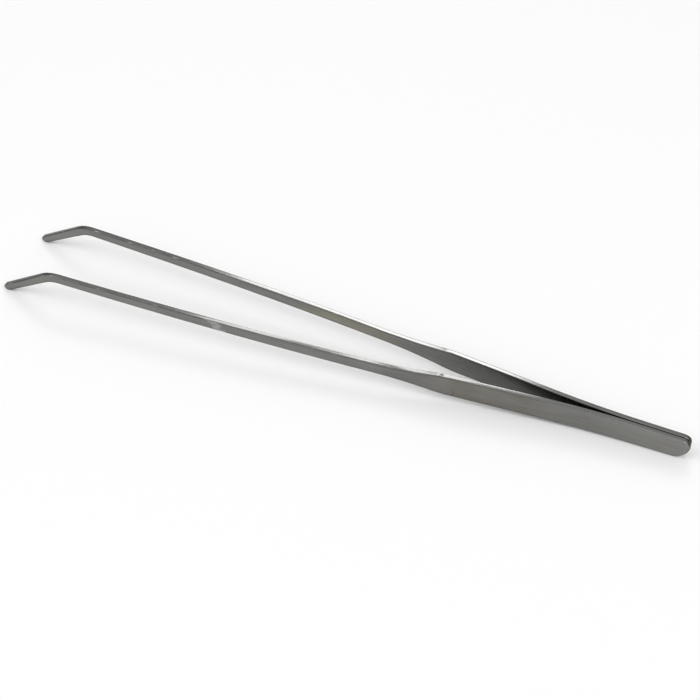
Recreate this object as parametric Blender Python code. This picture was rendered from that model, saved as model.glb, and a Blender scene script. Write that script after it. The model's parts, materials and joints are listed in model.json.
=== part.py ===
"""Long aquascaping tweezers with bent tips, lying on their edge as they rest on a table.

Two strips of satin stainless steel are spot-welded back to back at the heel. From there they spread
apart, narrow at a shoulder into slim blades and end in short tips bent down. Each arm is one springy
strip, so it is built as a welded heel and a sprung blade that meet at the flexure.

The arms are modelled level in a frame of their own, with the heel end at x = 0, the tips towards -X and
the mirror plane at y = 0. The frame is then tilted until heel and tips both touch the table at z = 0.
"""

import math

import bmesh
import bpy
from mathutils import Matrix, Vector

MM = 0.001

# Overall size. Lengths along an arm are measured from the heel end.
LENGTH = 270 * MM
THICKNESS = 1.6 * MM
EDGE_RADIUS = 0.25 * MM
HEEL_GAP = 0.3 * MM  # between the inner faces of the two arms where they are welded

# Side outline, as half the strip's width.
BELLY_AT = 52 * MM  # the heel is widest here
BELLY_HALF = 5.25 * MM
BELLY_CURVE = 0.0001 / MM  # how fast the heel's edges draw in away from the belly
SHOULDER_ROUNDING = 0.35 * MM
NECK_END = 117 * MM  # the hollow curve of the shoulder runs into the blade here
NECK_CURVE = 0.003 / MM
BLADE_HALF = 2.72 * MM  # at the neck end
KNEE_HALF = 1.93 * MM
TIP_HALF = 1.58 * MM

# Rounded ends of the outline, as super-ellipses.
HEEL_END = 0.4 * MM  # the strip starts here
HEEL_CREST = 1.9 * MM  # the heel's end is furthest out at this height over the centreline
HEEL_TOP_NOSE = 3.3 * MM
HEEL_BOTTOM_NOSE = 5.3 * MM
HEEL_NOSE_POWER = 2.0
TIP_NOSE = 2.4 * MM
TIP_NOSE_POWER = 2.3

# The bent tip.
KNEE_AT = 247 * MM  # where the straight blade and the straight tip would meet
KNEE_RADIUS = 13 * MM
KNEE_ANGLE = math.radians(33)

# Spread of an arm away from the mirror plane, as slopes that are reached along smooth ramps.
SPLAY_SLOPE = 0.092
SPLAY_FROM = 10 * MM
SPLAY_TO = 61 * MM
TIP_SLOPE = 0.027
TOE_IN_FROM = 38 * MM
TOE_IN_TO = 252 * MM

# The flexure where heel and blade meet, and the spot welds between the two heels.
FLEX_AT = 48 * MM
FLEX_GAP = 0.3 * MM
WELD_DIAMETER = 5 * MM
WELD_DEPTH = 0.5 * MM  # how far a weld reaches into each strip
WELD_CLEARANCE = 0.3 * MM
WELD_PLACES = {"weld_nugget_rear": 8 * MM, "weld_nugget_front": 20 * MM}
WELD_SIDES = 32

STATION_STEP = 3 * MM
NOSE_STATIONS = 8
KNEE_STATIONS = 8
SMALLEST_STEP = 0.02 * MM
BEVEL_SEGMENTS = 2
BEVEL_ANGLE = math.radians(60)  # corners sharper than this are rounded
SHARP_ANGLE = math.radians(30)
TILT_PASSES = 4

STEEL_COLOUR = (0.19, 0.19, 0.18, 1)
WELD_COLOUR = (0.15, 0.15, 0.15, 1)
STEEL_ROUGHNESS = 0.35

KNEE_TANGENT = KNEE_RADIUS * math.tan(KNEE_ANGLE / 2)
KNEE_START = KNEE_AT - KNEE_TANGENT
KNEE_ARC = KNEE_RADIUS * KNEE_ANGLE
TIP_STRAIGHT = (LENGTH - KNEE_AT) / math.cos(KNEE_ANGLE) - KNEE_TANGENT
STRIP_LENGTH = KNEE_START + KNEE_ARC + TIP_STRAIGHT


def clear_scene():
    for thing in list(bpy.data.objects):
        bpy.data.objects.remove(thing, do_unlink=True)


def clamp_share(value):
    return min(max(value, 0), 1)


def smooth_min(first, second, rounding):
    """The smaller of two lengths, with the corner where they cross rounded off."""
    share = clamp_share(0.5 + 0.5 * (second - first) / rounding)
    return second + (first - second) * share - rounding * share * (1 - share)


def ramp(place, start, end):
    """A slope that rises smoothly from 0 at start to 1 at end."""
    share = clamp_share((place - start) / (end - start))
    return share**2 * (3 - 2 * share)


def ramp_rise(place, start, end):
    """The height climbed along that slope."""
    share = clamp_share((place - start) / (end - start))
    return (end - start) * (share**3 - share**4 / 2) + max(place - end, 0)


def inner_face(place):
    """Distance of an arm's inner face from the mirror plane."""
    spread = SPLAY_SLOPE * ramp_rise(place, SPLAY_FROM, SPLAY_TO)
    toe_in = (SPLAY_SLOPE - TIP_SLOPE) * ramp_rise(place, TOE_IN_FROM, TOE_IN_TO)
    return HEEL_GAP / 2 + spread - toe_in


def bar_half_width(run):
    """Half the strip's width at a run along its centreline, before the ends are rounded."""
    if run > KNEE_AT:
        share = (run - KNEE_AT) / (STRIP_LENGTH - KNEE_AT)
        return KNEE_HALF + (TIP_HALF - KNEE_HALF) * share
    taper = (run - NECK_END) / (KNEE_AT - NECK_END)
    blade = BLADE_HALF + (KNEE_HALF - BLADE_HALF) * taper
    if run > NECK_END:
        return blade
    neck = blade + NECK_CURVE * (NECK_END - run) ** 2
    heel = BELLY_HALF - BELLY_CURVE * (run - BELLY_AT) ** 2
    return smooth_min(heel, neck, SHOULDER_ROUNDING)


def nose_share(distance, nose, power):
    """How much of the full width is left at a distance from a rounded end."""
    left = clamp_share(1 - distance / nose)
    return (1 - left**power) ** (1 / power)


def edge_height(run, edge):
    """Height of the top edge (1) or bottom edge (-1) over the centreline.

    At the heel end both edges meet at its crest.
    """
    heel_nose = HEEL_TOP_NOSE if edge > 0 else HEEL_BOTTOM_NOSE
    heel_share = nose_share(run - HEEL_END, heel_nose, HEEL_NOSE_POWER)
    tip_share = nose_share(STRIP_LENGTH - run, TIP_NOSE, TIP_NOSE_POWER)
    full = edge * bar_half_width(run) * tip_share
    return HEEL_CREST + (full - HEEL_CREST) * heel_share


def centreline(run):
    """Place along the arm, height and downward angle of the strip's centreline at a run along it."""
    if run <= KNEE_START:
        return run, 0, 0
    angle = min((run - KNEE_START) / KNEE_RADIUS, KNEE_ANGLE)
    beyond = max(run - KNEE_START - KNEE_ARC, 0)
    place = KNEE_START + KNEE_RADIUS * math.sin(angle) + beyond * math.cos(angle)
    drop = KNEE_RADIUS * (1 - math.cos(angle)) + beyond * math.sin(angle)
    return place, -drop, angle


def edge_point(run, edge):
    """Place and height of the strip's top edge (1) or bottom edge (-1)."""
    place, height, angle = centreline(run)
    reach = edge_height(run, edge)
    return place + reach * math.sin(angle), height + reach * math.cos(angle)


def stations(start, end):
    """Runs where the outline has a point, closer together at the rounded ends and round the knee."""
    steps = math.ceil((end - start) / STATION_STEP)
    runs = [start + (end - start) * index / steps for index in range(steps + 1)]
    for index in range(NOSE_STATIONS):
        distance = 1 - math.cos(math.pi / 2 * index / NOSE_STATIONS)
        runs.append(HEEL_END + HEEL_TOP_NOSE * distance)
        runs.append(HEEL_END + HEEL_BOTTOM_NOSE * distance)
        runs.append(STRIP_LENGTH - TIP_NOSE * distance)
    runs += [KNEE_START + KNEE_ARC * index / KNEE_STATIONS for index in range(KNEE_STATIONS + 1)]
    kept = []
    for run in sorted(run for run in runs if start <= run <= end):
        if not kept or run - kept[-1] > SMALLEST_STEP:
            kept.append(run)
    return kept


def steel_material(name, colour):
    material = bpy.data.materials.new(name)
    material.use_nodes = True
    shader = material.node_tree.nodes["Principled BSDF"]
    shader.inputs["Base Color"].default_value = colour
    shader.inputs["Metallic"].default_value = 1.0
    shader.inputs["Roughness"].default_value = STEEL_ROUGHNESS
    return material


def add_object(name, bm, location, colour, frame):
    """A new object with its origin at a location, from a bmesh in the coordinates of the tweezers' frame."""
    bmesh.ops.recalc_face_normals(bm, faces=bm.faces)
    bmesh.ops.transform(bm, matrix=Matrix.Translation(-location), verts=bm.verts)
    mesh = bpy.data.meshes.new(name)
    bm.to_mesh(mesh)
    bm.free()
    mesh.shade_smooth()
    mesh.set_sharp_from_angle(angle=SHARP_ANGLE)
    mesh.materials.append(steel_material(name + "_steel", colour))
    thing = bpy.data.objects.new(name, mesh)
    thing.location = location
    thing.parent = frame
    bpy.context.collection.objects.link(thing)
    return thing


def strip_surface(start, end, side):
    """The inner face of a length of strip, as a ladder of quads between its bottom and top edges."""
    bm = bmesh.new()
    rungs = []
    for run in stations(start, end):
        rung = []
        for edge in (-1, 1):
            place, height = edge_point(run, edge)
            rung.append(bm.verts.new((-place, side * inner_face(place), height)))
        rungs.append(rung)
    for (low, high), (next_low, next_high) in zip(rungs, rungs[1:]):
        bm.faces.new((low, high, next_high, next_low))
    bmesh.ops.remove_doubles(bm, verts=bm.verts, dist=SMALLEST_STEP)
    return bm


def strip(name, start, end, side, location, frame):
    """A length of one arm: its inner face thickened outwards, with rounded edges."""
    bm = strip_surface(start, end, side)
    thing = add_object(name, bm, location, STEEL_COLOUR, frame)
    faces_outwards = thing.data.polygons[0].normal.y * side > 0
    thicken = thing.modifiers.new("thickness", "SOLIDIFY")
    thicken.thickness = THICKNESS
    thicken.offset = 1 if faces_outwards else -1
    thicken.use_even_offset = True
    rounding = thing.modifiers.new("rounded edges", "BEVEL")
    rounding.width = EDGE_RADIUS
    rounding.segments = BEVEL_SEGMENTS
    rounding.limit_method = "ANGLE"
    rounding.angle_limit = BEVEL_ANGLE
    return thing


def weld_disc(radius, depth):
    """A disc across the mirror plane that reaches the same depth into both strips."""
    bm = bmesh.new()
    lying = Matrix.Rotation(math.pi / 2, 4, "X")
    bmesh.ops.create_cone(
        bm,
        cap_ends=True,
        segments=WELD_SIDES,
        radius1=radius,
        radius2=radius,
        depth=HEEL_GAP + 2 * depth,
        matrix=lying,
    )
    return bm


def weld_nugget(name, place, heels, frame):
    """A spot weld, and the shallow seat that it fills in the inner face of each heel."""
    location = Vector((-place, 0, 0))
    shift = Matrix.Translation(location)
    radius = WELD_DIAMETER / 2
    nugget = weld_disc(radius, WELD_DEPTH - WELD_CLEARANCE)
    bmesh.ops.transform(nugget, matrix=shift, verts=nugget.verts)
    add_object(name, nugget, location, WELD_COLOUR, frame)
    seat = weld_disc(radius + WELD_CLEARANCE, WELD_DEPTH)
    bmesh.ops.transform(seat, matrix=shift, verts=seat.verts)
    cutter = add_object(name + "_seat_cutter", seat, location, WELD_COLOUR, frame)
    cutter.hide_render = True
    cutter.display_type = "WIRE"
    for heel in heels:
        cut = heel.modifiers.new(name + " seat", "BOOLEAN")
        cut.operation = "DIFFERENCE"
        cut.solver = "EXACT"
        cut.object = cutter


def arm(hand, side, frame):
    """One arm: the welded heel and, beyond the flexure, the sprung blade.

    Both have their origin on the flexure's axis.
    """
    flexure = Vector((-FLEX_AT, side * (inner_face(FLEX_AT) + THICKNESS / 2), 0))
    heel = strip(hand + "_arm_heel", HEEL_END, FLEX_AT - FLEX_GAP / 2, side, flexure, frame)
    strip(hand + "_arm_blade", FLEX_AT + FLEX_GAP / 2, STRIP_LENGTH, side, flexure, frame)
    return heel


def lowest_points(tilt):
    """The lowest edge points of the heel half and of the tip half when the blades rise at a tilt."""
    edges = [Vector(edge_point(run, -1)) for run in stations(HEEL_END, STRIP_LENGTH)]

    def height(point):
        return point.x * math.sin(tilt) + point.y * math.cos(tilt)

    heel = min((point for point in edges if point.x < LENGTH / 2), key=height)
    tip = min((point for point in edges if point.x > LENGTH / 2), key=height)
    return heel, tip


def resting_tilt():
    """The angle at which the blades rise from the table when heel and tips both touch it."""
    tilt = 0
    for _ in range(TILT_PASSES):
        heel, tip = lowest_points(tilt)
        tilt = math.atan2(heel.y - tip.y, tip.x - heel.x)
    return tilt


def centre_over_origin(frame):
    """Moves the frame so that the object's base is at z = 0, with its box centred on the origin."""
    bpy.context.view_layer.update()
    depsgraph = bpy.context.evaluated_depsgraph_get()
    points = []
    for thing in bpy.data.objects:
        if thing.type == "MESH" and not thing.hide_render:
            solid = thing.evaluated_get(depsgraph)
            points += [solid.matrix_world @ vertex.co for vertex in solid.data.vertices]
    left = min(point.x for point in points)
    right = max(point.x for point in points)
    bottom = min(point.z for point in points)
    frame.location.x -= (left + right) / 2
    frame.location.z -= bottom


def main():
    clear_scene()
    frame = bpy.data.objects.new("tweezers_frame", None)
    bpy.context.collection.objects.link(frame)
    heels = [arm("left", -1, frame), arm("right", 1, frame)]
    for name, place in WELD_PLACES.items():
        weld_nugget(name, place, heels, frame)
    frame.rotation_euler.y = resting_tilt()
    centre_over_origin(frame)


main()
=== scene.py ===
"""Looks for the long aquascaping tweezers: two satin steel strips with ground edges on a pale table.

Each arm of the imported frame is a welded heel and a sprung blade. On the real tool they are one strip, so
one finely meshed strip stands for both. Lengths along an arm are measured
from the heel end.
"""

import json
import math

import bmesh
import bpy
from mathutils import Matrix, Vector


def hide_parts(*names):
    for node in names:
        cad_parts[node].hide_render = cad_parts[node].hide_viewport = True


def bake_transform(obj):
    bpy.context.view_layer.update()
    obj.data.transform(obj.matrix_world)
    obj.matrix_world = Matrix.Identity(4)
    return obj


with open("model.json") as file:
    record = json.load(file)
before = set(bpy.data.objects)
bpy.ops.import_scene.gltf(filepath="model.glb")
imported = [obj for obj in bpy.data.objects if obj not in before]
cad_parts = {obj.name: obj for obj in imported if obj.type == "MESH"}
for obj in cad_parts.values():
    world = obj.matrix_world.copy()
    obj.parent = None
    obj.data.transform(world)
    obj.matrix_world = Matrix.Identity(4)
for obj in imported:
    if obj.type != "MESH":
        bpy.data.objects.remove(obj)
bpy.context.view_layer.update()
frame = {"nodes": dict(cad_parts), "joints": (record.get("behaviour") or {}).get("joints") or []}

MM = 0.001

# The strip's outline and spread, as in the part's own source.
LENGTH = 270 * MM
THICKNESS = 1.6 * MM
HEEL_GAP = 0.3 * MM
BELLY_AT = 52 * MM
BELLY_HALF = 5.25 * MM
BELLY_CURVE = 0.0001 / MM
SHOULDER_ROUNDING = 0.35 * MM
NECK_END = 117 * MM
NECK_CURVE = 0.003 / MM
BLADE_HALF = 2.72 * MM
KNEE_HALF = 1.93 * MM
TIP_HALF = 1.58 * MM
HEEL_END = 0.4 * MM
HEEL_CREST = 1.9 * MM
HEEL_TOP_NOSE = 3.3 * MM
HEEL_BOTTOM_NOSE = 5.3 * MM
HEEL_NOSE_POWER = 2.0
TIP_NOSE = 2.4 * MM
TIP_NOSE_POWER = 2.3
KNEE_AT = 247 * MM
KNEE_RADIUS = 13 * MM
KNEE_ANGLE = math.radians(33)
SPLAY_SLOPE = 0.092
SPLAY_FROM = 10 * MM
SPLAY_TO = 61 * MM
TIP_SLOPE = 0.027
TOE_IN_FROM = 38 * MM
TOE_IN_TO = 252 * MM
FLEX_AT = 48 * MM

KNEE_TANGENT = KNEE_RADIUS * math.tan(KNEE_ANGLE / 2)
KNEE_START = KNEE_AT - KNEE_TANGENT
KNEE_ARC = KNEE_RADIUS * KNEE_ANGLE
TIP_STRAIGHT = (LENGTH - KNEE_AT) / math.cos(KNEE_ANGLE) - KNEE_TANGENT
STRIP_LENGTH = KNEE_START + KNEE_ARC + TIP_STRAIGHT

# The strip's ground edge all round: nearly flat, leaning back towards the outer face, between two rounded
# corners.
OUTLINE_INSET = 0.02 * MM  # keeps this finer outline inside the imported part's coarser one
CORNER_RADIUS = 0.2 * MM
EDGE_CROWN = 0.006 * MM
EDGE_LEAN = math.radians(1)

# Two marks of use on the left arm: a crescent pressed into the outer face and a nick in the top edge.
CRESCENT_CENTRE = Vector((87.4 * MM, -2.5 * MM))  # run along the arm and height above its middle
CRESCENT_RADIUS = 2.6 * MM
CRESCENT_HALF_ANGLE = math.radians(62)
CRESCENT_HALF_WIDTH = 0.4 * MM
CRESCENT_DEPTH = 0.1 * MM
NICK_AT = 90 * MM
NICK_HALF_LENGTH = 0.7 * MM
NICK_HALF_WIDTH = 0.5 * MM
NICK_DEPTH = 0.12 * MM

# How finely the strip is meshed.
STATION_STEP = 1.0 * MM
MARK_STEP = 0.25 * MM
MARKS_FROM = 84 * MM
MARKS_TO = 92 * MM
NOSE_STATIONS = 16
KNEE_STATIONS = 16
SMALLEST_STEP = 0.01 * MM
FACE_SEGMENTS = 28
CORNER_SEGMENTS = 5
EDGE_SEGMENTS = 6

# The stretch of arm that bends as the tweezers close.
BEND_FROM = 40 * MM
BEND_TO = 84 * MM

# The strip's four surfaces, and where each starts across the strip's UV map, which is in millimetres.
UV_MAP = "strip"
OUTER_FACE, INNER_FACE, TOP_EDGE, BOTTOM_EDGE = range(4)
UV_START = {OUTER_FACE: 0, INNER_FACE: 20 * MM, TOP_EDGE: 40 * MM, BOTTOM_EDGE: 50 * MM}

# A value on each vertex that says how near it is to the rim of a broad face, where painted shade darkens the
# face.
RIM = "rim"
RIM_WIDTH = 0.7 * MM

# Metal colours, as the share of light that the metal reflects.
SATIN_STEEL = (0.202, 0.2, 0.19)
GROUND_STEEL = (0.225, 0.225, 0.22)
PAINTED_SHADE_DARK = (0.08, 0.08, 0.076)  # the dark colour of painted shade and painted dark reflection: in the edges' corners, along the faces' rims, in the crescent and on the tip; the neck is also mixed towards it
BROWN_FILM = (0.178, 0.168, 0.138)  # a thin film of oil and dust
# painted reflection: an olive tint standing in for something olive reflected in the inner faces
PAINTED_OLIVE_REFLECTION = (0.265, 0.255, 0.2)
# also the colour of painted glints along the edges' corners and of a painted highlight at the heel
RUBBED_STEEL_AND_GLINTS = (0.36, 0.36, 0.35)
PAINTED_DARK_REFLECTION = (0.06, 0.06, 0.057)  # a painted dark reflection on the heel's end
FUSED_STEEL = (0.16, 0.16, 0.16)
TEMPER_STRAW = (0.2, 0.15, 0.09)

# Stretches of the strip: the two runs between which a layer shows fully, and how far it fades out beyond.
RUBBED_PATCH = (175.2 * MM, 178 * MM, 1 * MM)
OUTER_FILM = (62 * MM, 80 * MM, 12 * MM)
# where the painted olive reflection shows on the inner faces
INNER_REFLECTION = (120 * MM, 140 * MM, 20 * MM)
# the outer face is lighter towards the heel
LIGHTER_HEEL = (-20 * MM, 8 * MM, 40 * MM)
# the outer face is darker at the neck
DARKER_NECK = (99 * MM, 108 * MM, 8 * MM)
# the heel end is rougher here, and painted darker as a dark reflection
HEEL_CUT_DARK_REFLECTION = (-5 * MM, 1.2 * MM, 1 * MM)
LIGHTER_TOP_CORNERS = (-5 * MM, 178 * MM, 8 * MM)  # the painted shade in the top edge's corners is weaker here
# the painted shade along the faces' rims is weaker here
LIGHTER_RIM = (-20 * MM, 46 * MM, 14 * MM)
HEEL_CORNER_HIGHLIGHT = (-5 * MM, 22 * MM, 14 * MM)  # a painted highlight along the top edge's corners at the heel
# the tip's edge is duller here, and painted darker as a dark reflection
DULL_DARK_TIP = (249 * MM, 280 * MM, 4 * MM)

# How strongly those layers show where they are full.
HEEL_TONE = 1.14
NECK_DARKENING = 0.22
RIM_SHADE_LEFT = 0.15  # of a rim's painted shade that is left where the rim is lighter
# how much of the top corners' painted shade is taken away
TOP_CORNER_SHADE_CUT = 0.75
# how strong the painted highlight at the heel is
HIGHLIGHT_SHARE = 0.8
# how far the tip's edge is dulled and painted darker
TIP_DULL_DARKNESS = 0.65
RUB_SLANT = 0.5  # how far the rubbed patch leans along the strip for each millimetre across it

# Noise in the metal, by the length and width of its streaks or spots.
GRAIN = (9 * MM, 0.13 * MM)
BRUSHING = (26 * MM, 0.8 * MM)
SMUDGES = (15 * MM, 5 * MM)
STREAKS = (7 * MM, 0.12 * MM)
WAVES = (2.4 * MM, 0.7 * MM)
DULLNESS = (12 * MM, 0.8 * MM)
RIPPLES = (0.5 * MM, 0.5 * MM)
COARSE, USUAL, FINE, FINEST = 1.0, 2.0, 3.0, 4.0  # levels of detail
SHIFT_STEP = 3.1  # each noise is taken this much further along, so that none repeats another
SHIFT_ACROSS = 1.7  # and this many times as far across

# Patches made of such noise: length, width, the part of the noise's range that counts and what it becomes.
# patches of the outer faces' oily film and of the inner faces' painted olive reflection
FILM_AND_TINT_PATCHES = (22 * MM, 7 * MM, (0.35, 0.65), (0.25, 1))
SCRATCH_LINES = (32 * MM, 0.22 * MM, (0.66, 0.7), (0, 1))
SCRATCHED_AREAS = (32 / 3 * MM, 5.5 * MM, (0.45, 0.6), (0, 1))
# patches of painted shade along the faces' rims
RIM_SHADE_PATCHES = (12 * MM, 4 * MM, (0.3, 0.6), (0.35, 0.7))
RAGGED_END = (3 * MM, 2 * MM, (0.3, 0.7), (-1, 1))
RUB_SPOTS = (3 * MM, 1.5 * MM, (0.35, 0.6), (0.45, 1))
# patches of painted shade in the edges' corners
CORNER_SHADE_PATCHES = (9 * MM, 0.8 * MM, (0.3, 0.6), (0.5, 1))
# patches of painted glints along the edges' corners
CORNER_GLINT_PATCHES = (5 * MM, 0.6 * MM, (0.58, 0.66), (0, 1))
HEAT_TINT = (2 * MM, 2 * MM, (0.4, 0.65), (0, 0.8))

# What each noise or mask does to the metal's tone and roughness, at its lowest and at its highest.
WIDE = (0.25, 0.75)  # nearly all of a noise's range
NARROW = (0.3, 0.7)
MASK = (0, 1)
GRAIN_TONE = (0.93, 1.07)
BRUSHING_TONE = (0.92, 1.08)
SMUDGE_TONE = (0.93, 1.07)
SCRATCH_TONE = (1, 1.22)
STREAK_TONE = (0.9, 1.1)
RIPPLE_TONE = (0.8, 1.2)
SMUDGE_ROUGHNESS = (0.3, 0.38)
GRAIN_ROUGHNESS = (-0.03, 0.03)
SCRATCH_ROUGHNESS = (0, -0.1)
EDGE_ROUGHNESS = (0.08, 0.14)
CORNER_ROUGHER = 0.06
CUT_ROUGHER = 0.25
DULL_ROUGHER = 0.35
WELD_ROUGHNESS = (0.4, 0.6)

# Relief: how high a pattern stands where it is full, and how much the other patterns count beside the first.
FACE_RELIEF = 0.003 * MM
BRUSHING_SHARE = 0.6
SCRATCH_SHARE = -0.5
EDGE_RELIEF = 0.0012 * MM
WAVES_SHARE = 2.0
WELD_RELIEF = 0.02 * MM

# Painted shade in the edges' corners and in the crescent.
CORNER_BLEED = 0.05 * MM  # how far the corners' mask reaches on to the flat
CRESCENT_CORE = 0.1 * MM  # it is strongest within this distance of the groove's middle line
CRESCENT_SHADE = 0.4
CRESCENT_FADE = 0.8 * MM

# The camera, aimed at a point near the middle of the object.
CAMERA_AZIMUTH = math.radians(22.52)
CAMERA_ELEVATION = math.radians(50.65)
CAMERA_ROLL = math.radians(-1.61)
CAMERA_DISTANCE = 0.4096
CAMERA_AIM = Vector((0.00919, -0.00241, 0.008))
CAMERA_LENS = 56.6  # on Blender's 36 mm sensor
CAMERA_NEAR = 0.01

# The bright panes of a window behind the object lie in one plane. Each is left, right, low and high on that
# plane, and its radiance. The low panes are brighter.
WINDOW_AZIMUTH = math.radians(196)
WINDOW_ELEVATION = math.radians(50)
WINDOW_ROLL = math.radians(-25)
WINDOW_DISTANCE = 3.0
WINDOW_PANES = {
    "right_high_pane": (-0.42, -0.02, 0.07, 0.6, 2.9),
    "right_low_pane": (-0.52, -0.02, -0.4, 0.05, 4.3),
    "middle_low_pane": (-0.02, 0.15, -0.4, 0.05, 4.3),
    "left_low_pane": (0.15, 0.445, -0.4, 0.05, 4.3),
    "left_high_pane": (0.15, 0.42, 0.07, 0.6, 2.8),
}

# Softboxes at the camera's left and right, by azimuth and elevation in degrees.
SOFTBOXES = {"softbox_left": (-60, 50), "softbox_right": (75, 50)}
SOFTBOX_DISTANCE = 2.5
SOFTBOX_SIZE = 1.5
SOFTBOX_RADIANCE = 2.4

# The room's brightness by the sine of elevation.
ROOM = ((0.0, 0.24), (0.3, 0.32), (0.75, 0.62), (1.0, 0.9))
TABLE_COLOUR = (0.95, 0.95, 0.95)
TABLE_ROUGHNESS = 0.7
TABLE_HALF = 10


def clamp_share(value):
    return min(max(value, 0), 1)


def smooth_min(first, second, rounding):
    """The smaller of two lengths, with the corner where they cross rounded off."""
    share = clamp_share(0.5 + 0.5 * (second - first) / rounding)
    return second + (first - second) * share - rounding * share * (1 - share)


def smooth_bump(offset, half_width):
    """A smooth hump: 1 at an offset of 0, falling to 0 at half_width on either side."""
    return (1 - clamp_share(abs(offset) / half_width) ** 2) ** 2


def ramp(place, start, end):
    """A slope that rises smoothly from 0 at start to 1 at end."""
    share = clamp_share((place - start) / (end - start))
    return share**2 * (3 - 2 * share)


def ramp_rise(place, start, end):
    """The height climbed along that slope."""
    share = clamp_share((place - start) / (end - start))
    return (end - start) * (share**3 - share**4 / 2) + max(place - end, 0)


def inner_face(place):
    """Distance of an arm's inner face from the mirror plane."""
    spread = SPLAY_SLOPE * ramp_rise(place, SPLAY_FROM, SPLAY_TO)
    toe_in = (SPLAY_SLOPE - TIP_SLOPE) * ramp_rise(place, TOE_IN_FROM, TOE_IN_TO)
    return HEEL_GAP / 2 + spread - toe_in


def inner_slope(place):
    """How fast the inner face moves away from the mirror plane."""
    spread = SPLAY_SLOPE * ramp(place, SPLAY_FROM, SPLAY_TO)
    return spread - (SPLAY_SLOPE - TIP_SLOPE) * ramp(place, TOE_IN_FROM, TOE_IN_TO)


def bar_half_width(run):
    """Half the strip's width at a run along its centreline, before the ends are rounded."""
    if run > KNEE_AT:
        share = (run - KNEE_AT) / (STRIP_LENGTH - KNEE_AT)
        return KNEE_HALF + (TIP_HALF - KNEE_HALF) * share
    taper = (run - NECK_END) / (KNEE_AT - NECK_END)
    blade = BLADE_HALF + (KNEE_HALF - BLADE_HALF) * taper
    if run > NECK_END:
        return blade
    neck = blade + NECK_CURVE * (NECK_END - run) ** 2
    heel = BELLY_HALF - BELLY_CURVE * (run - BELLY_AT) ** 2
    return smooth_min(heel, neck, SHOULDER_ROUNDING)


def nose_share(distance, nose, power):
    """How much of the full width is left at a distance from a rounded end."""
    left = clamp_share(1 - distance / nose)
    return (1 - left**power) ** (1 / power)


def edge_height(run, edge):
    """Height of the top edge (1) or bottom edge (-1) over the centreline.

    At the heel end both edges meet at its crest.
    """
    heel_nose = HEEL_TOP_NOSE if edge > 0 else HEEL_BOTTOM_NOSE
    heel_share = nose_share(run - HEEL_END, heel_nose, HEEL_NOSE_POWER)
    tip_share = nose_share(STRIP_LENGTH - run, TIP_NOSE, TIP_NOSE_POWER)
    full = edge * bar_half_width(run) * tip_share
    return HEEL_CREST + (full - HEEL_CREST) * heel_share


def centreline(run):
    """Place along the arm, height and downward angle of the strip's centreline at a run along it."""
    if run <= KNEE_START:
        return run, 0, 0
    angle = min((run - KNEE_START) / KNEE_RADIUS, KNEE_ANGLE)
    beyond = max(run - KNEE_START - KNEE_ARC, 0)
    place = KNEE_START + KNEE_RADIUS * math.sin(angle) + beyond * math.cos(angle)
    drop = KNEE_RADIUS * (1 - math.cos(angle)) + beyond * math.sin(angle)
    return place, -drop, angle


def edge_point(run, edge):
    """The strip's top edge (1) or bottom edge (-1), as place along the arm and height."""
    place, height, angle = centreline(run)
    reach = edge_height(run, edge)
    return Vector((place + reach * math.sin(angle), height + reach * math.cos(angle)))


def evenly(start, end, steps):
    return [start + (end - start) * index / steps for index in range(steps + 1)]


def stations():
    """Runs where the outline has a point, closer together at the marks, the ends and the knee."""
    runs = evenly(HEEL_END, STRIP_LENGTH, math.ceil(STRIP_LENGTH / STATION_STEP))
    runs += evenly(MARKS_FROM, MARKS_TO, round((MARKS_TO - MARKS_FROM) / MARK_STEP))
    runs += evenly(KNEE_START, KNEE_START + KNEE_ARC, KNEE_STATIONS)
    for turn in evenly(0, math.pi / 2, NOSE_STATIONS):
        runs.append(HEEL_END + HEEL_TOP_NOSE * (1 - math.cos(turn)))
        runs.append(HEEL_END + HEEL_BOTTOM_NOSE * (1 - math.cos(turn)))
        runs.append(STRIP_LENGTH - TIP_NOSE * (1 - math.cos(turn)))
    kept = []
    for run in sorted(runs):
        if not kept or run - kept[-1] > SMALLEST_STEP:
            kept.append(run)
    kept[-1] = STRIP_LENGTH
    return kept


def edge_profile():
    """The edge from outer face to inner face, as (inset from the outline, depth from the inner face)."""
    flat = THICKNESS / 2 - CORNER_RADIUS
    corner = []
    for turn in evenly(0, math.pi / 2, CORNER_SEGMENTS)[:-1]:
        inset = EDGE_CROWN + CORNER_RADIUS * (1 - math.sin(turn))
        corner.append((inset, THICKNESS - CORNER_RADIUS * (1 - math.cos(turn))))
    crown = []
    for share in evenly(1, -1, EDGE_SEGMENTS):
        crown.append((EDGE_CROWN * share**2, THICKNESS / 2 + share * flat))
    other_corner = [(inset, THICKNESS - depth) for inset, depth in reversed(corner)]
    lean = math.tan(EDGE_LEAN)
    return [(OUTLINE_INSET + inset + lean * depth, depth) for inset, depth in corner + crown + other_corner]


def crescent(run, across):
    """How deep the crescent is pressed into the outer face at a run and a height above the arm's middle."""
    spoke = Vector((run, across)) - CRESCENT_CENTRE
    turn = math.atan2(spoke.y, -spoke.x)
    groove = smooth_bump(spoke.length - CRESCENT_RADIUS, CRESCENT_HALF_WIDTH)
    return CRESCENT_DEPTH * groove * smooth_bump(turn, CRESCENT_HALF_ANGLE)


def nick(run, depth):
    """How deep the nick goes into the top edge at a run and a depth from the inner face."""
    along = smooth_bump(run - NICK_AT, NICK_HALF_LENGTH)
    return NICK_DEPTH * along * smooth_bump(depth - THICKNESS / 2, NICK_HALF_WIDTH)


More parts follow.
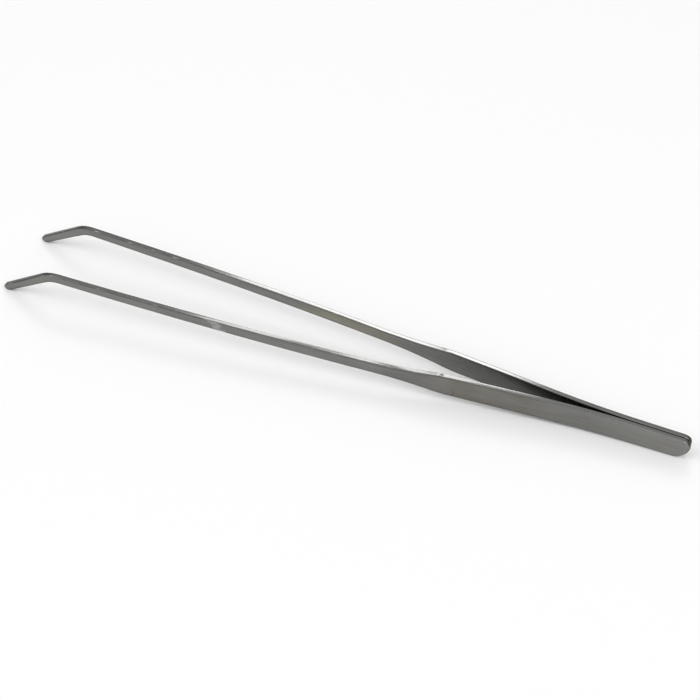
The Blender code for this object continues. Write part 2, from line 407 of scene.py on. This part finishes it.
class Arm:
    """Places points of one arm, given in its own plane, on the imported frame."""

    def __init__(self, hand, side, marked):
        joint = next(joint for joint in frame["joints"] if joint["name"] == hand + "_arm_flex")
        self.hand = hand
        self.side = side
        self.marked = marked
        self.up = Vector(joint["axis"]) * side
        self.towards_tips = self.up.cross(Vector((0, 1, 0)))
        middle = inner_face(FLEX_AT) + THICKNESS / 2
        flexure = Vector(joint["pos_m"])
        self.heel_end = flexure - self.towards_tips * FLEX_AT - Vector((0, side * middle, 0))

    def point(self, place, height, depth):
        """A point at a depth behind the inner face, straight out from that face."""
        slope = inner_slope(place)
        out = depth / math.hypot(1, slope)
        sideways = self.side * (inner_face(place) + out)
        along = place - out * slope
        return self.heel_end + self.towards_tips * along + self.up * height + Vector((0, sideways, 0))


def outward_normals(loop):
    """The direction out of a closed outline at each of its points."""
    normals = []
    for index, point in enumerate(loop):
        before = (point - loop[index - 1]).normalized()
        after = (loop[(index + 1) % len(loop)] - point).normalized()
        tangent = (before + after).normalized()
        normals.append(Vector((-tangent.y, tangent.x)))
    return normals


class StripMesh:
    """One arm's mesh: a ground edge all round, an outer face and an inner face."""

    def __init__(self, arm):
        self.arm = arm
        self.bm = bmesh.new()
        self.uv = self.bm.loops.layers.uv.new(UV_MAP)
        self.rim = self.bm.verts.layers.float.new(RIM)
        top_runs = stations()
        self.last = len(top_runs) - 1
        # The outline runs along the top from the heel end to the tip and back along the bottom.
        self.runs = top_runs + top_runs[-2:0:-1]
        self.loop = []
        for index, run in enumerate(self.runs):
            self.loop.append(edge_point(run, 1 if index <= self.last else -1))
        self.normals = outward_normals(self.loop)
        self.profile = edge_profile()
        self.rings = [self.edge_ring(index) for index in range(len(self.loop))]
        self.add_edge()
        self.add_face(0, OUTER_FACE)
        self.add_face(-1, INNER_FACE)
        bmesh.ops.recalc_face_normals(self.bm, faces=self.bm.faces)

    def add_polygon(self, corners, kind):
        """A face from corners of (vertex, run, distance across), with repeated corners left out."""
        distinct = {corner[0]: corner for corner in corners}.values()
        face = self.bm.faces.new([vertex for vertex, _, _ in distinct])
        face.material_index = kind
        face.smooth = True
        for loop, (_, run, across) in zip(face.loops, distinct):
            loop[self.uv].uv = (run / MM, (UV_START[kind] + across) / MM)

    def inset_point(self, index, inset):
        return self.loop[index] - inset * self.normals[index]

    def edge_ring(self, index):
        """The edge's profile at one point of the outline."""
        ring = []
        for inset, depth in self.profile:
            if self.arm.marked and index <= self.last:
                inset += nick(self.runs[index], depth)
            vertex = self.bm.verts.new(self.arm.point(*self.inset_point(index, inset), depth))
            vertex[self.rim] = 1
            ring.append(vertex)
        return ring

    def add_edge(self):
        """The band that joins the rings all round the outline."""
        for index, ring in enumerate(self.rings):
            after = (index + 1) % len(self.rings)
            kind = TOP_EDGE if index < self.last else BOTTOM_EDGE
            for low in range(len(ring) - 1):
                high = low + 1
                corners = []
                for place, step in ((index, low), (after, low), (after, high), (index, high)):
                    corners.append((self.rings[place][step], self.runs[place], self.profile[step][1]))
                self.add_polygon(corners, kind)

    def face_row(self, index, profile_index, kind):
        """Corners across a broad face at one station, from the top edge to the bottom edge."""
        run = self.runs[index]
        top = self.rings[index][profile_index]
        if index in (0, self.last):
            return [(top, run, 0)] * (FACE_SEGMENTS + 1)
        opposite = len(self.loop) - index
        inset, depth = self.profile[profile_index]
        high = self.inset_point(index, inset)
        low = self.inset_point(opposite, inset)
        half = (high - low).length / 2
        row = [(top, run, half)]
        for share in evenly(0, 1, FACE_SEGMENTS)[1:-1]:
            across = half * (1 - 2 * share)
            dent = crescent(run, across) if self.arm.marked and kind == OUTER_FACE else 0
            vertex = self.bm.verts.new(self.arm.point(*high.lerp(low, share), depth - dent))
            vertex[self.rim] = clamp_share(1 - (half - abs(across)) / RIM_WIDTH)
            row.append((vertex, run, across))
        row.append((self.rings[opposite][profile_index], run, -half))
        return row

    def add_face(self, profile_index, kind):
        """A broad face, as rows of corners between the edge's two sides."""
        rows = [self.face_row(index, profile_index, kind) for index in range(self.last + 1)]
        for row, following in zip(rows, rows[1:]):
            for step in range(FACE_SEGMENTS):
                self.add_polygon([row[step], row[step + 1], following[step + 1], following[step]], kind)


def add_node(tree, kind, **inputs):
    """Adds a shader node and sets its inputs, each a value or another node's output."""
    made = tree.nodes.new("ShaderNode" + kind)
    for name, value in inputs.items():
        socket = made.inputs[name.replace("_", " ")]
        if isinstance(value, bpy.types.NodeSocket):
            tree.links.new(value, socket)
        else:
            socket.default_value = value
    return made


class Finish:
    """A metal material built up in layers from noise, masks and mixes on millimetre coordinates.

    The shift says where its first noise is taken from, so that no two materials look alike.
    """

    def __init__(self, name, shift):
        self.material = bpy.data.materials.new(name)
        self.material.use_nodes = True
        self.tree = self.material.node_tree
        self.shader = self.tree.nodes["Principled BSDF"]
        self.shader.inputs["Metallic"].default_value = 1.0
        self.shift = shift

    def use_strip_map(self):
        """Takes the place on the strip from its UV map: run along the arm, then distance across."""
        uv = self.tree.nodes.new("ShaderNodeUVMap")
        uv.uv_map = UV_MAP
        self.place = uv.outputs["UV"]
        parts = add_node(self.tree, "SeparateXYZ", Vector=self.place)
        self.run = parts.outputs["X"]
        self.across = parts.outputs["Y"]

    def use_object_place(self):
        """Takes the place from the object's own coordinates, turned into millimetres."""
        own = self.tree.nodes.new("ShaderNodeTexCoord").outputs["Object"]
        scaled = add_node(self.tree, "Mapping", Vector=own, Scale=(1 / MM, 1 / MM, 1 / MM))
        self.place = scaled.outputs["Vector"]

    def noise(self, length, width, detail=USUAL):
        """Noise drawn out to a length along the strip and a width across it."""
        scale = (MM / length, MM / width, MM / width)
        shift = (self.shift, self.shift * SHIFT_ACROSS, 0)
        drawn_out = add_node(self.tree, "Mapping", Vector=self.place, Scale=scale, Location=shift)
        self.shift += SHIFT_STEP
        made = add_node(self.tree, "TexNoise", Vector=drawn_out.outputs["Vector"], Scale=1.0, Detail=detail)
        return made.outputs["Fac"]

    def remap(self, value, taken, given):
        """Moves a value smoothly from the range taken to the range given, held at its ends."""
        ends = {"From_Min": taken[0], "From_Max": taken[1], "To_Min": given[0], "To_Max": given[1]}
        made = add_node(self.tree, "MapRange", Value=value, **ends)
        made.interpolation_type = "SMOOTHSTEP"
        return made.outputs["Result"]

    def patches(self, kind, detail=USUAL):
        """Noise in one of the kinds of patches listed above."""
        length, width, taken, given = kind
        return self.remap(self.noise(length, width, detail), taken, given)

    def rim_share(self):
        rim = self.tree.nodes.new("ShaderNodeAttribute")
        rim.attribute_name = RIM
        return rim.outputs["Fac"]

    def calculate(self, operation, first, second):
        made = self.tree.nodes.new("ShaderNodeMath")
        made.operation = operation
        for socket, value in zip(made.inputs, (first, second)):
            if isinstance(value, bpy.types.NodeSocket):
                self.tree.links.new(value, socket)
            else:
                socket.default_value = value
        return made.outputs["Value"]

    def product(self, *values):
        result = values[0]
        for value in values[1:]:
            result = self.calculate("MULTIPLY", result, value)
        return result

    def total(self, *values):
        result = values[0]
        for value in values[1:]:
            result = self.calculate("ADD", result, value)
        return result

    def stretch(self, lengths, shift=0):
        """A mask that is 1 along a stretch of the strip and fades out beyond it. A shift moves it."""
        start, end, fade = (length / MM for length in lengths)
        moved = self.calculate("SUBTRACT", self.run, shift)
        rise = self.remap(moved, (start - fade, start), MASK)
        fall = self.remap(moved, (end, end + fade), (1, 0))
        return self.product(rise, fall)

    def mix(self, share, first, second):
        colours = [(*colour, 1) if isinstance(colour, tuple) else colour for colour in (first, second)]
        made = add_node(self.tree, "MixRGB", Fac=share, Color1=colours[0], Color2=colours[1])
        return made.outputs["Color"]

    def brighten(self, colour, factor):
        return add_node(self.tree, "HueSaturation", Color=colour, Value=factor).outputs["Color"]

    def finish(self, colour, roughness, height, height_step):
        """Links the layers up. A height of 1 stands height_step above a height of 0."""
        bump = add_node(self.tree, "Bump", Height=height, Distance=height_step, Strength=1.0)
        self.tree.links.new(colour, self.shader.inputs["Base Color"])
        self.tree.links.new(roughness, self.shader.inputs["Roughness"])
        self.tree.links.new(bump.outputs["Normal"], self.shader.inputs["Normal"])
        return self.material


def crescent_shade(look):
    """A mask for the painted shade in the crescent: a ring cut off where the groove runs out."""
    centre = (-CRESCENT_CENTRE.x / MM, -CRESCENT_CENTRE.y / MM, 0)
    spoke = add_node(look.tree, "Mapping", Vector=look.place, Location=centre).outputs["Vector"]
    length = look.tree.nodes.new("ShaderNodeVectorMath")
    length.operation = "LENGTH"
    look.tree.links.new(spoke, length.inputs[0])
    off = look.calculate("SUBTRACT", length.outputs["Value"], CRESCENT_RADIUS / MM)
    fade = (CRESCENT_CORE / MM, CRESCENT_HALF_WIDTH / MM)
    ring = look.remap(look.calculate("ABSOLUTE", off, 0), fade, (CRESCENT_SHADE, 0))
    along = add_node(look.tree, "SeparateXYZ", Vector=spoke).outputs["X"]
    end = -CRESCENT_RADIUS * math.cos(CRESCENT_HALF_ANGLE)
    return look.product(ring, look.remap(along, ((end - CRESCENT_FADE) / MM, end / MM), (1, 0)))


def outer_colour(look, patches):
    """A brown film on the grip; the face is lighter towards the heel and darker at the neck."""
    colour = look.mix(look.product(patches, look.stretch(OUTER_FILM)), SATIN_STEEL, BROWN_FILM)
    colour = look.brighten(colour, look.remap(look.stretch(LIGHTER_HEEL), MASK, (1, HEEL_TONE)))
    return look.mix(look.product(look.stretch(DARKER_NECK), NECK_DARKENING), colour, PAINTED_SHADE_DARK)


def inner_colour(look, patches):
    """An olive tint on the blade: a painted reflection."""
    return look.mix(look.product(patches, look.stretch(INNER_REFLECTION)), SATIN_STEEL, PAINTED_OLIVE_REFLECTION)


def wear_and_crescent_shade(look, colour):
    """Adds a rubbed patch with slanted, ragged ends, and the painted shade in the crescent."""
    shift = look.total(look.product(look.across, RUB_SLANT), look.patches(RAGGED_END))
    rubbed = look.product(look.patches(RUB_SPOTS), look.stretch(RUBBED_PATCH, shift))
    colour = look.mix(rubbed, colour, RUBBED_STEEL_AND_GLINTS)
    return look.mix(crescent_shade(look), colour, PAINTED_SHADE_DARK)


def face_steel(name, shift, tint_colour, marked=False):
    """Satin steel brushed along the strip, with smudges, a tint (an oily film on the outer face, a painted
    olive reflection on the inner face), fine scratches and painted shade along the rims.
    """
    look = Finish(name, shift)
    look.use_strip_map()
    grain = look.noise(*GRAIN, FINE)
    brushing = look.noise(*BRUSHING)
    smudges = look.noise(*SMUDGES)
    # these patches carry the outer face's oily film and the inner face's painted olive reflection
    film = look.patches(FILM_AND_TINT_PATCHES)
    scratches = look.product(look.patches(SCRATCH_LINES, COARSE), look.patches(SCRATCHED_AREAS))

    colour = tint_colour(look, film)
    # painted shade along the faces' rims, weaker towards the heel
    rim = look.product(look.rim_share(), look.patches(RIM_SHADE_PATCHES))
    rim = look.product(rim, look.remap(look.stretch(LIGHTER_RIM), MASK, (1, RIM_SHADE_LEFT)))
    colour = look.mix(rim, colour, PAINTED_SHADE_DARK)
    if marked:
        colour = wear_and_crescent_shade(look, colour)
    colour = look.brighten(colour, look.remap(grain, WIDE, GRAIN_TONE))
    colour = look.brighten(colour, look.remap(brushing, WIDE, BRUSHING_TONE))
    colour = look.brighten(colour, look.remap(smudges, WIDE, SMUDGE_TONE))
    colour = look.brighten(colour, look.remap(scratches, MASK, SCRATCH_TONE))

    roughness = look.total(
        look.remap(smudges, NARROW, SMUDGE_ROUGHNESS),
        look.remap(grain, NARROW, GRAIN_ROUGHNESS),
        look.remap(scratches, MASK, SCRATCH_ROUGHNESS),
    )
    height = look.total(
        grain,
        look.product(brushing, BRUSHING_SHARE),
        look.product(scratches, SCRATCH_SHARE),
    )
    return look.finish(colour, roughness, height, FACE_RELIEF)


def corner_mask(look, kind):
    """A mask for the rounded corners on both sides of an edge."""
    middle = THICKNESS / 2
    off = look.calculate("SUBTRACT", look.across, (UV_START[kind] + middle) / MM)
    from_middle = look.calculate("ABSOLUTE", off, 0)
    start = middle - CORNER_RADIUS - CORNER_BLEED
    full = middle - CORNER_RADIUS / 2
    return look.remap(from_middle, (start / MM, full / MM), MASK)


def edge_steel(name, shift, kind):
    """An edge as it comes off the grinding belt, with streaks, slight waves and a duller tip.

    Painted shade darkens its corners, more weakly along most of the top edge, and painted glints brighten
    them, with a painted highlight along the top corners at the heel. A painted dark reflection darkens the
    tip and the rougher heel end.
    """
    look = Finish(name, shift)
    look.use_strip_map()
    streaks = look.noise(*STREAKS, FINE)
    waves = look.noise(*WAVES)
    dullness = look.noise(*DULLNESS)
    corner = corner_mask(look, kind)
    # painted shade in the corners
    corner_shade = look.product(corner, look.patches(CORNER_SHADE_PATCHES))
    # painted glints along the corners
    corner_glints = look.product(corner, look.patches(CORNER_GLINT_PATCHES))
    if kind == TOP_EDGE:
        # the painted shade in the top edge's corners is weaker along most of the arm
        top_shade_cut = look.product(look.stretch(LIGHTER_TOP_CORNERS), TOP_CORNER_SHADE_CUT)
        corner_shade = look.product(corner_shade, look.calculate("SUBTRACT", 1, top_shade_cut))
        # a painted highlight along the top edge's corners at the heel
        heel_highlight = look.product(corner, look.stretch(HEEL_CORNER_HIGHLIGHT), HIGHLIGHT_SHARE)
        corner_glints = look.calculate("MAXIMUM", corner_glints, heel_highlight)
    # the tip is duller, and its colour darkened with a painted dark reflection
    dull = look.product(look.stretch(DULL_DARK_TIP), TIP_DULL_DARKNESS)
    # the heel end is rougher, and its colour darkened with a painted dark reflection
    cut = look.stretch(HEEL_CUT_DARK_REFLECTION)

    colour = look.mix(dull, GROUND_STEEL, PAINTED_SHADE_DARK)
    colour = look.mix(corner_shade, colour, PAINTED_SHADE_DARK)
    colour = look.mix(corner_glints, colour, RUBBED_STEEL_AND_GLINTS)
    colour = look.brighten(colour, look.remap(streaks, WIDE, STREAK_TONE))
    colour = look.mix(cut, colour, PAINTED_DARK_REFLECTION)

    roughness = look.total(
        look.remap(dullness, NARROW, EDGE_ROUGHNESS),
        look.product(corner, CORNER_ROUGHER),
        look.product(cut, CUT_ROUGHER),
        look.product(dull, DULL_ROUGHER),
    )
    height = look.total(streaks, look.product(waves, WAVES_SHARE))
    return look.finish(colour, roughness, height, EDGE_RELIEF)


def weld_steel(name):
    """Steel that has melted and set: dull and grainy, with a straw tint from the heat."""
    look = Finish(name, 0)
    look.use_object_place()
    ripples = look.noise(*RIPPLES, FINEST)
    colour = look.mix(look.patches(HEAT_TINT), FUSED_STEEL, TEMPER_STRAW)
    colour = look.brighten(colour, look.remap(ripples, WIDE, RIPPLE_TONE))
    return look.finish(colour, look.remap(ripples, NARROW, WELD_ROUGHNESS), ripples, WELD_RELIEF)


def add_arm(arm, materials):
    mesh = bpy.data.meshes.new(arm.hand + "_arm")
    strip = StripMesh(arm)
    strip.bm.to_mesh(mesh)
    strip.bm.free()
    for material in materials:
        mesh.materials.append(material)
    thing = bpy.data.objects.new(arm.hand + "_arm", mesh)
    bpy.context.scene.collection.objects.link(thing)
    thing.modifiers.new("flat faces", "WEIGHTED_NORMAL")
    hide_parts(arm.hand + "_arm_heel", arm.hand + "_arm_blade")
    start = arm.point(BEND_FROM, 0, 0)
    arm.point(BEND_TO, 0, 0)
    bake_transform(thing)


def add_arms():
    left_looks = [
        face_steel("left_outer_face", 0, outer_colour, marked=True),
        face_steel("left_inner_face", 40, inner_colour),
        edge_steel("left_top_edge", 80, TOP_EDGE),
        edge_steel("left_bottom_edge", 100, BOTTOM_EDGE),
    ]
    right_looks = [
        face_steel("right_outer_face", 120, outer_colour),
        face_steel("right_inner_face", 160, inner_colour),
        edge_steel("right_top_edge", 200, TOP_EDGE),
        edge_steel("right_bottom_edge", 220, BOTTOM_EDGE),
    ]
    add_arm(Arm("left", -1, marked=True), left_looks)
    add_arm(Arm("right", 1, marked=False), right_looks)


def dress_welds():
    look = weld_steel("fused_steel")
    for name in ("weld_nugget_rear", "weld_nugget_front"):
        mesh = frame["nodes"][name].data
        mesh.materials.clear()
        mesh.materials.append(look)


def direction(azimuth, elevation):
    """A unit vector: azimuth 0 points back along -Y and turns towards +X."""
    flat = math.cos(elevation)
    return Vector((math.sin(azimuth) * flat, -math.cos(azimuth) * flat, math.sin(elevation)))


def facing_object(azimuth, elevation, roll):
    """The turn of a camera or lamp out in that direction that looks back at the object."""
    back = direction(azimuth, elevation)
    right = Vector((math.cos(azimuth), math.sin(azimuth), 0))
    turn = Matrix((right, back.cross(right), back)).transposed().to_4x4()
    return turn @ Matrix.Rotation(roll, 4, "Z")


def add_camera():
    camera = bpy.data.objects.new("camera", bpy.data.cameras.new("camera"))
    middle = CAMERA_AIM + direction(CAMERA_AZIMUTH, CAMERA_ELEVATION) * CAMERA_DISTANCE
    turn = facing_object(CAMERA_AZIMUTH, CAMERA_ELEVATION, CAMERA_ROLL)
    camera.matrix_world = Matrix.Translation(middle) @ turn
    camera.data.lens = CAMERA_LENS
    camera.data.clip_start = CAMERA_NEAR
    bpy.context.scene.collection.objects.link(camera)
    bpy.context.scene.camera = camera


def add_lamp(name, placed, width, height, radiance):
    light = bpy.data.lights.new(name, "AREA")
    light.shape = "RECTANGLE"
    light.size = width
    light.size_y = height
    light.energy = radiance * math.pi * width * height
    lamp = bpy.data.objects.new(name, light)
    lamp.matrix_world = placed
    bpy.context.scene.collection.objects.link(lamp)


def add_window():
    middle = Matrix.Translation(direction(WINDOW_AZIMUTH, WINDOW_ELEVATION) * WINDOW_DISTANCE)
    plane = middle @ facing_object(WINDOW_AZIMUTH, WINDOW_ELEVATION, WINDOW_ROLL)
    for name, (left, right, low, high, radiance) in WINDOW_PANES.items():
        placed = plane @ Matrix.Translation(((left + right) / 2, (low + high) / 2, 0))
        add_lamp(name, placed, right - left, high - low, radiance)


def add_softboxes():
    for name, angles in SOFTBOXES.items():
        azimuth, elevation = map(math.radians, angles)
        middle = Matrix.Translation(direction(azimuth, elevation) * SOFTBOX_DISTANCE)
        placed = middle @ facing_object(azimuth, elevation, 0)
        add_lamp(name, placed, SOFTBOX_SIZE, SOFTBOX_SIZE, SOFTBOX_RADIANCE)


def add_room():
    """A neutral room, dim near the horizon and brighter overhead."""
    world = bpy.data.worlds.new("room")
    world.use_nodes = True
    tree = world.node_tree
    upward = add_node(tree, "SeparateXYZ", Vector=tree.nodes.new("ShaderNodeTexCoord").outputs["Generated"])
    ramp_node = add_node(tree, "ValToRGB", Fac=upward.outputs["Z"])
    stops = ramp_node.color_ramp.elements
    while len(stops) < len(ROOM):
        stops.new(0.5)  # its position is set below
    for stop, (position, brightness) in zip(stops, ROOM):
        stop.position = position
        stop.color = (brightness, brightness, brightness, 1)
    tree.links.new(ramp_node.outputs["Color"], tree.nodes["Background"].inputs["Color"])
    bpy.context.scene.world = world


def add_table():
    bm = bmesh.new()
    bmesh.ops.create_grid(bm, x_segments=1, y_segments=1, size=TABLE_HALF)
    mesh = bpy.data.meshes.new("table")
    bm.to_mesh(mesh)
    bm.free()
    material = bpy.data.materials.new("table")
    material.use_nodes = True
    shader = material.node_tree.nodes["Principled BSDF"]
    shader.inputs["Base Color"].default_value = (*TABLE_COLOUR, 1)
    shader.inputs["Roughness"].default_value = TABLE_ROUGHNESS
    mesh.materials.append(material)
    table = bpy.data.objects.new("table", mesh)
    bpy.context.scene.collection.objects.link(table)


add_arms()
dress_welds()
add_camera()
add_window()
add_softboxes()
add_room()
add_table()
bpy.context.scene.view_settings.view_transform = "Standard"
